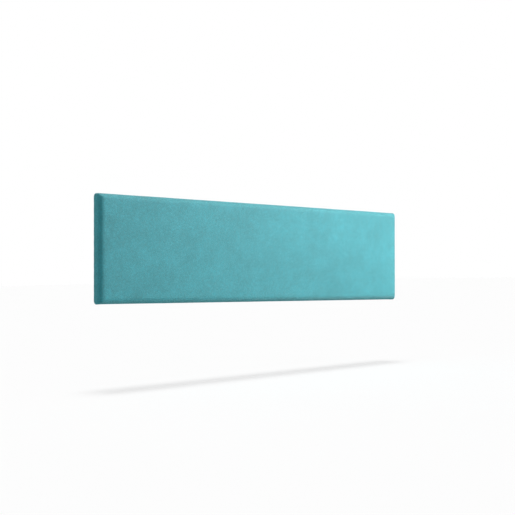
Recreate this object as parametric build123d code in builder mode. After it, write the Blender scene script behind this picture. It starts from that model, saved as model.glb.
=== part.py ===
from build123d import *
import os

os.makedirs("parts", exist_ok=True)

# Padded wall panel, hooked on a rail that is screwed to the wall. Millimetres.
# X runs along the panel, Y into the wall and Z up. The wall is the plane y = 0, the room is
# at y < 0, and z = 0 is the line of the wall rail's screw holes, with x = 0 at its middle.

# ---- Driving dimensions ----

# Board and the layers that lie on it, from the wall to the room
board_length = 1190.0
board_height = 290.0
board_thickness = 12.0
board_corner_radius = 2.0
underlay_thickness = 3.0
foam_thickness = 13.0
foam_square_edge = 1.0  # what the rounding leaves of the foam's side
wadding_thickness = 3.8
cover_thickness = 1.2
cover_back_radius = 2.5
return_width = 38.0  # the cover's strip on the back of the board

# Thin cloth that closes the back, and the blank label on it
dust_cover_thickness = 0.4
dust_cover_inset = 14.0  # from the panel's outer edge
window_corner_radius = 5.0
label_length = 60.0
label_height = 32.0
label_thickness = 0.3
label_above_window = 16.0

# Hook rails
rail_thickness = 2.0
rail_clearance = 0.15  # on each side of the hooked lip
rail_flange_height = 25.0
rail_bend_radius = 0.4  # inner corners
rail_edge_radius = 0.6  # outer corners
hook_overlap = 10.0
hook_bottom_clearance = 1.0
wall_rail_length = 800.0
panel_rail_length = 900.0
rail_below_return = 6.0
wall_hole_radius = 2.75
wall_hole_inner_spacing = 240.0
wall_hole_outer_spacing = 720.0
panel_hole_inner_spacing = 270.0
panel_hole_outer_spacing = 810.0

# Machine screws, washers and tee nuts that hold the panel rail
screw_radius = 2.5
screw_length = 12.0
screw_head_radius = 4.75
screw_head_height = 2.75
screw_head_round = 2.0
screw_hex_flats = 3.0
screw_hex_depth = 1.7
screw_hole_clearance = 0.25
thread_clearance = 0.05
washer_radius = 5.0
washer_thickness = 1.0
tee_flange_radius = 8.5
tee_flange_thickness = 1.2
tee_barrel_wall = 0.7
tee_barrel_length = 8.0
tee_seat_clearance = 0.2
tee_prong_count = 4
tee_prong_length = 5.0
tee_prong_width = 2.0
tee_prong_thickness = 0.8
tee_prong_circle_radius = 7.0

# Staples
staple_crown = 9.2
staple_wire_width = 0.75
staple_wire_thickness = 0.55
staple_leg_length = 8.0
staple_corner_gap = 45.0  # from the panel's corner to the row's last staple
cover_staple_inset = 27.0
cover_staple_pitch = 30.0
dust_staple_inset = 18.0
dust_staple_pitch = 60.0
label_staple_spacing = 40.0
label_staple_inset = 6.0

# Rubber bumpers that keep the panel parallel to the wall, and their wood screws
bumper_radius = 10.0
bumper_edge_radius = 1.0
bumper_from_end = 110.0
bumper_above_window = 18.0
bumper_head_clearance = 1.0  # from the screw's head to the bumper's face
wood_screw_radius = 2.0
wood_screw_length = 12.0
wood_screw_tip_length = 4.0
wood_screw_tip_radius = 0.3
wood_screw_head_radius = 4.0
wood_screw_head_height = 2.2
wood_screw_head_round = 0.8
wood_screw_cross_length = 4.6
wood_screw_cross_width = 0.9
wood_screw_cross_depth = 1.4
small_washer_radius = 4.5
small_washer_thickness = 0.8
small_washer_clearance = 0.3
pilot_end_clearance = 0.3

# ---- Places that follow from them ----

# Hooked rails, measured from the wall towards the room
lip_gap = rail_thickness + 2 * rail_clearance
wall_rail_depth = lip_gap + rail_thickness
rail_stack = wall_rail_depth + rail_clearance + rail_thickness
panel_rail_depth = rail_stack - rail_clearance
panel_flange_back_y = rail_thickness - rail_stack

# Planes of the padding, from the wall to the room
panel_back_y = -rail_stack
board_back_y = panel_back_y - dust_cover_thickness
board_front_y = board_back_y - board_thickness
underlay_front_y = board_front_y - underlay_thickness
foam_front_y = underlay_front_y - foam_thickness
wadding_front_y = foam_front_y - wadding_thickness
cover_front_y = wadding_front_y - cover_thickness
cover_back_y = board_back_y + cover_thickness
dust_margin_back_y = cover_back_y + dust_cover_thickness

# Outlines of the layers
foam_edge_radius = foam_thickness - foam_square_edge
wadding_length = board_length + 2 * wadding_thickness
wadding_height = board_height + 2 * wadding_thickness
wadding_corner_radius = board_corner_radius + wadding_thickness
wadding_edge_radius = foam_edge_radius + wadding_thickness
cover_length = wadding_length + 2 * cover_thickness
cover_height = wadding_height + 2 * cover_thickness
cover_corner_radius = wadding_corner_radius + cover_thickness
cover_edge_radius = wadding_edge_radius + cover_thickness
window_length = cover_length - 2 * return_width
window_height = cover_height - 2 * return_width

# Heights: the wall rail is about z = 0, and the panel hangs from it
wall_lip_height = hook_overlap + hook_bottom_clearance
hook_rest_z = rail_flange_height / 2 + wall_lip_height
panel_rail_top_z = hook_rest_z + rail_flange_height
panel_hole_z = hook_rest_z + rail_thickness + (rail_flange_height - rail_thickness) / 2
panel_top_z = panel_rail_top_z + rail_below_return + return_width
panel_centre_z = panel_top_z - cover_height / 2
window_bottom_z = panel_centre_z - window_height / 2

# Fasteners
wall_hole_x = [s * d / 2 for d in (wall_hole_inner_spacing, wall_hole_outer_spacing) for s in (-1, 1)]
panel_hole_x = [s * d / 2 for d in (panel_hole_inner_spacing, panel_hole_outer_spacing) for s in (-1, 1)]
screw_hole_radius = screw_radius + screw_hole_clearance
washer_back_y = panel_flange_back_y + washer_thickness
thread_bore_radius = screw_radius + thread_clearance
tee_barrel_radius = thread_bore_radius + tee_barrel_wall
bumper_x = cover_length / 2 - bumper_from_end
bumper_z = window_bottom_z + bumper_above_window
bumper_recess_depth = small_washer_thickness + wood_screw_head_height + bumper_head_clearance
bumper_seat_y = -bumper_recess_depth
bumper_washer_back_y = bumper_seat_y + small_washer_thickness
pilot_radius = wood_screw_radius + thread_clearance
wood_screw_tip_y = bumper_washer_back_y - wood_screw_length
pilot_depth = board_back_y - wood_screw_tip_y + pilot_end_clearance
label_z = window_bottom_z + label_above_window + label_height / 2
label_back_y = panel_back_y + label_thickness


def facing_room(y, x=0.0, z=0.0):
    """A plane at (x, y, z) whose normal points into the room, with its X along the panel."""
    return Plane(origin=(x, y, z), x_dir=(1, 0, 0), z_dir=(0, -1, 0))


def facing_wall(y, x=0.0, z=0.0):
    """A plane at (x, y, z) whose normal points at the wall, with its X along the panel."""
    return Plane(origin=(x, y, z), x_dir=(1, 0, 0), z_dir=(0, 1, 0))


def panel_outline(length, height, y, corner_radius):
    """Rounded rectangle centred on the panel at y. It extrudes towards the room."""
    with BuildSketch(facing_room(y, z=panel_centre_z)) as outline:
        RectangleRounded(length, height, corner_radius)
    return outline.sketch


def padded_block(length, height, front_y, back_y, edge_radius, corner_radius, back_radius=0.0):
    """Block from front_y to back_y, its front edges rounded, and its back edges if back_radius is set."""
    with BuildPart() as block:
        extrude(panel_outline(length, height, back_y, corner_radius), amount=back_y - front_y)
        fillet(block.faces().sort_by(Axis.Y)[0].edges(), edge_radius)
        if back_radius > 0:
            fillet(block.faces().sort_by(Axis.Y)[-1].edges(), back_radius)
    return block.part


def hook_section(plane, depth, lip_height):
    """Z-shaped rail section: its flange stands on the plane's origin and its lip is at depth."""
    bends = [
        (rail_thickness, rail_flange_height - rail_thickness),
        (depth - rail_thickness, rail_flange_height),
    ]
    with BuildSketch(plane) as section:
        with BuildLine():
            Polyline(
                (0, 0),
                (rail_thickness, 0),
                (rail_thickness, rail_flange_height - rail_thickness),
                (depth, rail_flange_height - rail_thickness),
                (depth, rail_flange_height + lip_height),
                (depth - rail_thickness, rail_flange_height + lip_height),
                (depth - rail_thickness, rail_flange_height),
                (0, rail_flange_height),
                close=True,
            )
        make_face()
        corners = section.vertices()
        inner_corners = [corners.sort_by_distance(bend)[0] for bend in bends]
        fillet([corner for corner in corners if corner not in inner_corners], rail_edge_radius)
        for bend in bends:
            fillet(section.vertices().sort_by_distance(bend)[0], rail_bend_radius)
    return section.sketch


def staple():
    """One staple at the origin: its crown along X, its legs down +Z, its back face at z = 0."""
    with BuildPart() as wire:
        with BuildSketch(Plane.XZ.offset(-staple_wire_width / 2)):
            with Locations((0, (staple_leg_length + staple_wire_thickness) / 2)):
                Rectangle(staple_crown, staple_leg_length + staple_wire_thickness)
            with Locations((0, staple_wire_thickness + staple_leg_length / 2)):
                Rectangle(staple_crown - 2 * staple_wire_thickness, staple_leg_length, mode=Mode.SUBTRACT)
        extrude(amount=staple_wire_width)
    return wire.part


def tee_nut():
    """One tee nut at the origin: its flange on z = 0, its barrel and prongs towards +Z."""
    with BuildPart() as nut:
        with BuildSketch():
            Circle(tee_flange_radius)
        extrude(amount=tee_flange_thickness)
        with BuildSketch(Plane.XY.offset(tee_flange_thickness)):
            Circle(tee_barrel_radius)
        extrude(amount=tee_barrel_length)
        with BuildSketch(Plane.XY.offset(tee_flange_thickness)):
            with PolarLocations(tee_prong_circle_radius, tee_prong_count):
                Rectangle(tee_prong_thickness, tee_prong_width)
        extrude(amount=tee_prong_length)
        Hole(thread_bore_radius)
    return nut.part


def machine_screw():
    """One button-head screw at the origin: head towards -Z, shank towards +Z."""
    with BuildPart() as screw:
        with BuildSketch(Plane.XY.offset(-screw_head_height)):
            Circle(screw_head_radius)
        extrude(amount=screw_head_height)
        fillet(screw.edges().filter_by(GeomType.CIRCLE).sort_by(Axis.Z)[0], screw_head_round)
        with BuildSketch():
            Circle(screw_radius)
        extrude(amount=screw_length)
        with BuildSketch(Plane.XY.offset(-screw_head_height)):
            RegularPolygon(screw_hex_flats / 2, 6, major_radius=False)
        extrude(amount=screw_hex_depth, mode=Mode.SUBTRACT)
    return screw.part


def wood_screw():
    """One pan-head screw at the origin: head towards -Z, pointed shank towards +Z."""
    shank_length = wood_screw_length - wood_screw_tip_length
    with BuildPart() as screw:
        with BuildSketch(Plane.XY.offset(-wood_screw_head_height)):
            Circle(wood_screw_head_radius)
        extrude(amount=wood_screw_head_height)
        fillet(screw.edges().filter_by(GeomType.CIRCLE).sort_by(Axis.Z)[0], wood_screw_head_round)
        with BuildSketch():
            Circle(wood_screw_radius)
        extrude(amount=shank_length)
        with BuildSketch(Plane.XY.offset(shank_length)):
            Circle(wood_screw_radius)
        with BuildSketch(Plane.XY.offset(wood_screw_length)):
            Circle(wood_screw_tip_radius)
        loft()
        with BuildSketch(Plane.XY.offset(-wood_screw_head_height)):
            Rectangle(wood_screw_cross_length, wood_screw_cross_width)
            Rectangle(wood_screw_cross_width, wood_screw_cross_length)
        extrude(amount=wood_screw_cross_depth, mode=Mode.SUBTRACT)
    return screw.part


def washer(outer_radius, inner_radius, thickness):
    """One flat washer at the origin, from z = 0 up."""
    with BuildPart() as ring:
        with BuildSketch():
            Circle(outer_radius)
            Circle(inner_radius, mode=Mode.SUBTRACT)
        extrude(amount=thickness)
    return ring.part


def wall_bumper(x):
    """Rubber bumper on the panel's back at x, with a recess for its screw and washer."""
    with BuildPart(facing_wall(panel_back_y, x, bumper_z)) as bumper:
        Cylinder(bumper_radius, rail_stack, align=(Align.CENTER, Align.CENTER, Align.MIN))
        fillet(bumper.edges().filter_by(GeomType.CIRCLE).sort_by(Axis.Y)[-1], bumper_edge_radius)
        with Locations((0, 0, rail_stack)):
            CounterBoreHole(
                wood_screw_radius + screw_hole_clearance,
                small_washer_radius + small_washer_clearance,
                bumper_recess_depth,
            )
    return bumper.part


def row_count(span, pitch):
    """How many staples stand along a side of the panel at about this pitch."""
    return int((span - 2 * staple_corner_gap) / pitch) + 1


# ---- Hook rails ----

with BuildPart() as wall_rail:
    extrude(
        hook_section(
            Plane(origin=(0, 0, -rail_flange_height / 2), x_dir=(0, -1, 0), z_dir=(-1, 0, 0)),
            wall_rail_depth,
            wall_lip_height,
        ),
        amount=wall_rail_length / 2,
        both=True,
    )
    with Locations(*[facing_wall(0, x) for x in wall_hole_x]):
        Hole(wall_hole_radius, depth=rail_thickness)
wall_rail.part.label = "wall_rail"
export_step(wall_rail.part, "parts/wall_rail.step")

with BuildPart() as panel_rail:
    extrude(
        hook_section(
            Plane(origin=(0, panel_back_y, panel_rail_top_z), x_dir=(0, 1, 0), z_dir=(-1, 0, 0)),
            panel_rail_depth,
            hook_overlap,
        ),
        amount=panel_rail_length / 2,
        both=True,
    )
    with Locations(*[facing_wall(panel_flange_back_y, x, panel_hole_z) for x in panel_hole_x]):
        Hole(screw_hole_radius, depth=rail_thickness)
panel_rail.part.label = "panel_rail"
export_step(panel_rail.part, "parts/panel_rail.step")

with BuildPart() as panel_rail_washers:
    with Locations(*[facing_wall(panel_flange_back_y, x, panel_hole_z) for x in panel_hole_x]):
        add(washer(washer_radius, screw_hole_radius, washer_thickness))
panel_rail_washers.part.label = "panel_rail_washers"
export_step(panel_rail_washers.part, "parts/panel_rail_washers.step")

with BuildPart() as panel_rail_screws:
    with Locations(*[facing_room(washer_back_y, x, panel_hole_z) for x in panel_hole_x]):
        add(machine_screw())
panel_rail_screws.part.label = "panel_rail_screws"
export_step(panel_rail_screws.part, "parts/panel_rail_screws.step")

with BuildPart() as tee_nuts:
    with Locations(*[facing_wall(board_front_y, x, panel_hole_z) for x in panel_hole_x]):
        add(tee_nut())
tee_nuts.part.label = "tee_nuts"
export_step(tee_nuts.part, "parts/tee_nuts.step")

# ---- Board and padding ----

with BuildPart() as backboard:
    extrude(
        panel_outline(board_length, board_height, board_back_y, board_corner_radius),
        amount=board_thickness,
    )
    with Locations(*[facing_room(board_front_y, x, panel_hole_z) for x in panel_hole_x]):
        CounterBoreHole(
            tee_barrel_radius + tee_seat_clearance,
            tee_flange_radius + tee_seat_clearance,
            tee_flange_thickness,
            depth=board_thickness,
        )
    with Locations(*[facing_wall(board_back_y, x, bumper_z) for x in (-bumper_x, bumper_x)]):
        Hole(pilot_radius, depth=pilot_depth)
backboard.part.label = "backboard"
export_step(backboard.part, "parts/backboard.step")

with BuildPart() as firm_underlay:
    extrude(
        panel_outline(board_length, board_height, board_front_y, board_corner_radius),
        amount=underlay_thickness,
    )
firm_underlay.part.label = "firm_underlay"
export_step(firm_underlay.part, "parts/firm_underlay.step")

with BuildPart() as soft_foam:
    add(
        padded_block(
            board_length, board_height, foam_front_y, underlay_front_y, foam_edge_radius, board_corner_radius
        )
    )
soft_foam.part.label = "soft_foam"
export_step(soft_foam.part, "parts/soft_foam.step")

filled_core = padded_block(
    board_length, board_height, foam_front_y, board_back_y, foam_edge_radius, board_corner_radius
)
wadded_core = padded_block(
    wadding_length, wadding_height, wadding_front_y, board_back_y, wadding_edge_radius, wadding_corner_radius
)

with BuildPart() as wadding:
    add(wadded_core)
    add(filled_core, mode=Mode.SUBTRACT)
wadding.part.label = "wadding"
export_step(wadding.part, "parts/wadding.step")

with BuildPart() as velour_cover:
    add(
        padded_block(
            cover_length,
            cover_height,
            cover_front_y,
            cover_back_y,
            cover_edge_radius,
            cover_corner_radius,
            cover_back_radius,
        )
    )
    add(wadded_core, mode=Mode.SUBTRACT)
    extrude(
        panel_outline(window_length, window_height, cover_back_y, window_corner_radius),
        amount=cover_thickness,
        mode=Mode.SUBTRACT,
    )
velour_cover.part.label = "velour_cover"
export_step(velour_cover.part, "parts/velour_cover.step")

# ---- Back of the panel ----

with BuildPart() as dust_cover:
    extrude(
        panel_outline(
            cover_length - 2 * dust_cover_inset,
            cover_height - 2 * dust_cover_inset,
            dust_margin_back_y,
            window_corner_radius,
        ),
        amount=dust_cover_thickness,
    )
    extrude(
        panel_outline(window_length, window_height, dust_margin_back_y, window_corner_radius),
        amount=dust_margin_back_y - board_back_y,
    )
    extrude(
        panel_outline(
            window_length - 2 * dust_cover_thickness,
            window_height - 2 * dust_cover_thickness,
            dust_margin_back_y,
            window_corner_radius - dust_cover_thickness,
        ),
        amount=dust_margin_back_y - panel_back_y,
        mode=Mode.SUBTRACT,
    )
    with Locations(*[facing_wall(panel_back_y, x, panel_hole_z) for x in panel_hole_x]):
        Hole(screw_hole_radius, depth=dust_cover_thickness)
    with Locations(*[facing_wall(panel_back_y, x, bumper_z) for x in (-bumper_x, bumper_x)]):
        Hole(wood_screw_radius + screw_hole_clearance, depth=dust_cover_thickness)
dust_cover.part.label = "dust_cover"
export_step(dust_cover.part, "parts/dust_cover.step")

with BuildPart() as care_label:
    with BuildSketch(facing_room(label_back_y, z=label_z)):
        Rectangle(label_length, label_height)
    extrude(amount=label_thickness)
care_label.part.label = "care_label"
export_step(care_label.part, "parts/care_label.step")

cover_row_x = cover_height - 2 * cover_staple_inset
cover_row_z = cover_length - 2 * cover_staple_inset
with BuildPart(facing_room(cover_back_y, z=panel_centre_z)) as cover_staples:
    with GridLocations(cover_staple_pitch, cover_row_x, row_count(cover_length, cover_staple_pitch), 2):
        add(staple())
    with GridLocations(cover_row_z, cover_staple_pitch, 2, row_count(cover_height, cover_staple_pitch)):
        add(staple(), rotation=(0, 0, 90))
cover_staples.part.label = "cover_staples"
export_step(cover_staples.part, "parts/cover_staples.step")

dust_crown_y = dust_margin_back_y + staple_wire_thickness
dust_row_x = cover_height - 2 * dust_staple_inset
dust_row_z = cover_length - 2 * dust_staple_inset
label_crown_y = label_back_y + staple_wire_thickness
label_staple_z = label_z + label_height / 2 - label_staple_inset
with BuildPart(facing_room(dust_crown_y, z=panel_centre_z)) as dust_cover_staples:
    with GridLocations(dust_staple_pitch, dust_row_x, row_count(cover_length, dust_staple_pitch), 2):
        add(staple())
    with GridLocations(dust_row_z, dust_staple_pitch, 2, row_count(cover_height, dust_staple_pitch)):
        add(staple(), rotation=(0, 0, 90))
dust_cover_staples.part.label = "dust_cover_staples"
export_step(dust_cover_staples.part, "parts/dust_cover_staples.step")

with BuildPart(facing_room(label_crown_y, z=label_staple_z)) as label_staples:
    with GridLocations(label_staple_spacing, 0, 2, 1):
        add(staple())
label_staples.part.label = "label_staples"
export_step(label_staples.part, "parts/label_staples.step")

# ---- Bumpers at the panel's foot ----

with BuildPart() as wall_bumper_left:
    add(wall_bumper(-bumper_x))
wall_bumper_left.part.label = "wall_bumper_left"
export_step(wall_bumper_left.part, "parts/wall_bumper_left.step")

with BuildPart() as wall_bumper_right:
    add(wall_bumper(bumper_x))
wall_bumper_right.part.label = "wall_bumper_right"
export_step(wall_bumper_right.part, "parts/wall_bumper_right.step")

with BuildPart() as bumper_washers:
    with Locations(*[facing_wall(bumper_seat_y, x, bumper_z) for x in (-bumper_x, bumper_x)]):
        add(washer(small_washer_radius, wood_screw_radius + screw_hole_clearance, small_washer_thickness))
bumper_washers.part.label = "bumper_washers"
export_step(bumper_washers.part, "parts/bumper_washers.step")

with BuildPart() as bumper_screws:
    with Locations(*[facing_room(bumper_washer_back_y, x, bumper_z) for x in (-bumper_x, bumper_x)]):
        add(wood_screw())
bumper_screws.part.label = "bumper_screws"
export_step(bumper_screws.part, "parts/bumper_screws.step")
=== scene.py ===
"""Padded wall panel: a velour cover over foam on a board, hung from a pair of hook rails.

Metres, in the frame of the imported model: X along the panel, Y into the wall and Z up.
"""

import logging
import math
from collections.abc import Iterable, Sequence
from dataclasses import dataclass, field
from enum import Enum
from functools import cached_property
from typing import Any

import bmesh
import bpy
from mathutils import Matrix, Vector, noise


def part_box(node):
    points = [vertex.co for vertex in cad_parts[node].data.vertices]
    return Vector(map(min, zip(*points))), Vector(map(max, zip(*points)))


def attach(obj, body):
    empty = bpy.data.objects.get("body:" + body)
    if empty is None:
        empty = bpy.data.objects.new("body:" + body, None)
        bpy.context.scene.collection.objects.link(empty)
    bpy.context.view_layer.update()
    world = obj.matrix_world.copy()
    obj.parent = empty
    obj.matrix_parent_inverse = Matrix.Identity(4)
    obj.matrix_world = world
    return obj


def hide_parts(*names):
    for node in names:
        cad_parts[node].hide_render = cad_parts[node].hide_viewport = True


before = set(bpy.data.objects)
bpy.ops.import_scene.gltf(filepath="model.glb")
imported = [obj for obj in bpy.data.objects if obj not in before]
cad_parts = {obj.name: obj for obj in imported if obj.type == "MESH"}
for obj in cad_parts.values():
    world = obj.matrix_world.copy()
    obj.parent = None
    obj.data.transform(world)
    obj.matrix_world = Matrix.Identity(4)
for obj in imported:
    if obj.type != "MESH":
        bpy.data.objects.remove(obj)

LOG = logging.getLogger("wall_panel")
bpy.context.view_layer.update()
MM = 0.001
WHITE = (1.0, 1.0, 1.0, 1.0)
NOISE_RANGE = (0.3, 0.7)  # what a noise texture mostly keeps to

Feed = Any  # a node socket to link from, or the plain value of an input
Socket = bpy.types.NodeSocket
Triple = tuple[float, float, float]
Colour = Triple
Pair = tuple[float, float]
Inputs = dict[str, Feed]


# ---- Small tools ----


def smooth_step(value: float, start: float, end: float) -> float:
    """Rises from 0 at start to 1 at end with flat ends.

    Args:
        value: where on the ramp.
        start: where the ramp begins.
        end: where the ramp ends.

    Returns:
        A number from 0 to 1.
    """
    share = min(max((value - start) / (end - start), 0.0), 1.0)
    return share * share * (3.0 - 2.0 * share)


def insets(point: Vector, low: Vector, high: Vector) -> tuple[float, float]:
    """Distances of a point from the nearer end and the nearer long edge of a box."""
    return min(point.x - low.x, high.x - point.x), min(point.z - low.z, high.z - point.z)


def held_back(point: Vector, low: Vector, high: Vector, radius: float) -> tuple[float, float]:
    """X and Z of the nearest place that is a radius away from a box's outline, or further in."""
    core_x = min(max(point.x, low.x + radius), high.x - radius)
    return core_x, min(max(point.z, low.z + radius), high.z - radius)


def between_staples(run: float, pitch: float) -> float:
    """0 at every staple of a row and 1 midway between two of them."""
    return 0.5 - 0.5 * math.cos(2 * math.pi * run / pitch)


def stations(low: float, high: float, border: Sequence[float], pitch: float) -> list[float]:
    """Places of the cuts along a side: close together near both ends and even between them.

    Args:
        low: the side's lower end.
        high: its upper end.
        border: distances from each end, rising, the last of them where the even part begins.
        pitch: about how far apart the even cuts are.

    Returns:
        Every place from low to high, both ends among them.
    """
    even = high - low - 2.0 * border[-1]
    count = max(1, round(even / pitch))
    near = [0.0, *border[:-1]]
    middle = [low + border[-1] + even * step / count for step in range(count + 1)]
    return [low + place for place in near] + middle + [high - place for place in reversed(near)]


def respace(bm: bmesh.types.BMesh, axis: int, places: Sequence[float]) -> None:
    """Moves the evenly cut rows of a unit shape to their places along one axis.

    Args:
        bm: a shape from -0.5 to 0.5 along the axis.
        axis: 0, 1 or 2.
        places: where each row goes.
    """
    for vert in bm.verts:
        vert.co[axis] = places[round((vert.co[axis] + 0.5) * (len(places) - 1))]


def shift_points(mesh: bpy.types.Mesh, moves: Sequence[Vector]) -> None:
    """Moves each point of a mesh by its own amount."""
    for vert, move in zip(mesh.vertices, moves):
        vert.co += move


def new_piece(name: str, bm: bmesh.types.BMesh) -> bpy.types.Object:
    """Makes a smooth-shaded object of a bmesh, at the origin, and frees the bmesh.

    Args:
        name: the piece's name.
        bm: its shape, in place.

    Returns:
        The new object.
    """
    mesh = bpy.data.meshes.new(name)
    bm.to_mesh(mesh)
    bm.free()
    mesh.shade_smooth()
    piece = bpy.data.objects.new(name, mesh)
    bpy.context.scene.collection.objects.link(piece)
    return piece


def give_thickness(piece: bpy.types.Object, thickness: float) -> None:
    """Gives a sheet its thickness, inwards from its faces.

    Args:
        piece: the sheet.
        thickness: in metres.
    """
    wall = piece.modifiers.new("thickness", "SOLIDIFY")
    wall.thickness = thickness
    wall.offset = -1.0
    wall.use_even_offset = True


def hand_over(piece: bpy.types.Object, finish: "Finish", replaced: str) -> None:
    """Dresses a finished soft piece and sets what it rides on and stands for.

    Args:
        piece: the finished piece.
        finish: its finish.
        replaced: the CAD node that it stands for.
    """
    finish.dress(piece)
    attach(piece, "panel")
    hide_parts(replaced)
    LOG.info("%s: %d faces, stands for %s", piece.name, len(piece.data.polygons), replaced)


# ---- Node wiring ----


class Wiring:
    """Adds nodes to one node tree and joins them."""

    def __init__(self, tree: bpy.types.NodeTree) -> None:
        """Keeps the tree that the nodes go into."""
        self.tree = tree

    def node(self, kind: str, inputs: dict[Any, Feed] | None = None, **settings: Any) -> bpy.types.Node:
        """Adds one node.

        Args:
            kind: the node's type.
            inputs: what each input gets, by its name or number.
            **settings: the node's own properties.

        Returns:
            The new node.
        """
        made = self.tree.nodes.new(kind)
        for name, value in settings.items():
            setattr(made, name, value)
        for key, value in (inputs or {}).items():
            self.feed(made.inputs[key], value)
        return made

    def feed(self, socket: Socket, value: Feed) -> None:
        """Links a socket to an input, or sets the input's plain value.

        Args:
            socket: the input.
            value: a socket to link from, or a plain value.
        """
        if isinstance(value, Socket):
            self.tree.links.new(value, socket)
        else:
            socket.default_value = value

    def sum(self, operation: str, first: Feed, second: Feed = 0.0) -> Socket:
        """Result of one Math node."""
        return self.node("ShaderNodeMath", {0: first, 1: second}, operation=operation).outputs[0]

    def spread(
        self, value: Feed, to_low: Feed, to_high: Feed, low: float = 0.0, high: float = 1.0
    ) -> Socket:
        """Maps a value from one range to another and clamps it.

        Args:
            value: what is mapped.
            to_low: the result at low.
            to_high: the result at high.
            low: the value that becomes to_low.
            high: the value that becomes to_high.

        Returns:
            The mapped value's socket.
        """
        wanted = {0: value, 1: low, 2: high, 3: to_low, 4: to_high}
        return self.node("ShaderNodeMapRange", wanted).outputs[0]

    def about_one(self, value: Feed, amount: Feed, low: float = 0.0, high: float = 1.0) -> Socket:
        """Maps a value to a shade that varies about 1 by an amount."""
        darkest, palest = self.sum("SUBTRACT", 1.0, amount), self.sum("ADD", 1.0, amount)
        return self.spread(value, darkest, palest, low, high)

    def noise(self, vector: Feed, scale: Feed, detail: float = 2.0, rough: float = 0.5) -> Socket:
        """Noise from about 0.25 to 0.75 over a position.

        Args:
            vector: the position.
            scale: how many lumps there are to a metre.
            detail: octaves of finer lumps.
            rough: how strong each finer octave is.

        Returns:
            The noise's value socket.
        """
        wanted = {"Vector": vector, "Scale": scale, "Detail": detail, "Roughness": rough}
        return self.node("ShaderNodeTexNoise", wanted).outputs[0]

    def tint(self, factor: Feed, first: Feed, second: Feed, blend: str = "MIX") -> Socket:
        """Mixes two colours.

        Args:
            factor: 0 for the first, 1 for the second.
            first: one colour.
            second: the other colour.
            blend: how they are mixed.

        Returns:
            The mixed colour's socket.
        """
        wanted = {0: factor, 6: self.rgba(first), 7: self.rgba(second)}
        return self.node("ShaderNodeMix", wanted, data_type="RGBA", blend_type=blend).outputs[2]

    def shade(self, colour: Feed, *values: Socket) -> Socket:
        """Multiplies a colour by values that vary about 1.

        Args:
            colour: the colour.
            *values: the values' sockets.

        Returns:
            The shaded colour's socket.
        """
        for value in values:
            colour = self.tint(1.0, colour, value, "MULTIPLY")
        return colour

    def bump(self, height: Feed, distance: float, below: Feed = None) -> Socket:
        """Normal bent by a height.

        Args:
            height: from 0 to 1.
            distance: how high 1 is, in metres.
            below: the normal of a coarser bump under this one.

        Returns:
            The bent normal's socket.
        """
        made = self.node("ShaderNodeBump", {"Height": height, "Distance": distance, "Strength": 1.0})
        if below is not None:
            self.feed(made.inputs["Normal"], below)
        return made.outputs[0]

    def place(self) -> Socket:
        """The piece's own Object coordinates, in metres."""
        return self.node("ShaderNodeTexCoord").outputs["Object"]

    def turned(self, vector: Feed, scale: Triple, angles: Triple = (0.0, 0.0, 0.0)) -> Socket:
        """A position stretched and turned by a Mapping node."""
        wanted = {"Vector": vector, "Scale": scale, "Rotation": angles}
        return self.node("ShaderNodeMapping", wanted).outputs[0]

    def effect(self, group: bpy.types.NodeTree, place: Feed, **inputs: Feed) -> Any:
        """Places a shared effect.

        Args:
            group: the effect's node group.
            place: the position that it works on.
            **inputs: what its named values get.

        Returns:
            The group node's outputs.
        """
        made = self.node("ShaderNodeGroup", node_tree=group)
        for name, value in {"Place": place, **inputs}.items():
            self.feed(made.inputs[name], value)
        return made.outputs

    @staticmethod
    def rgba(colour: Feed) -> Feed:
        """A plain colour with its alpha added; a socket stays what it is."""
        return (*colour, 1.0) if isinstance(colour, tuple) and len(colour) == 3 else colour


def blank_wiring(owner: bpy.types.Material | bpy.types.World) -> Wiring:
    """Empties the node tree of a new material or world.

    Args:
        owner: the material or world.

    Returns:
        The wiring of its empty node tree.
    """
    owner.use_nodes = True
    owner.node_tree.nodes.clear()
    return Wiring(owner.node_tree)


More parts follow.
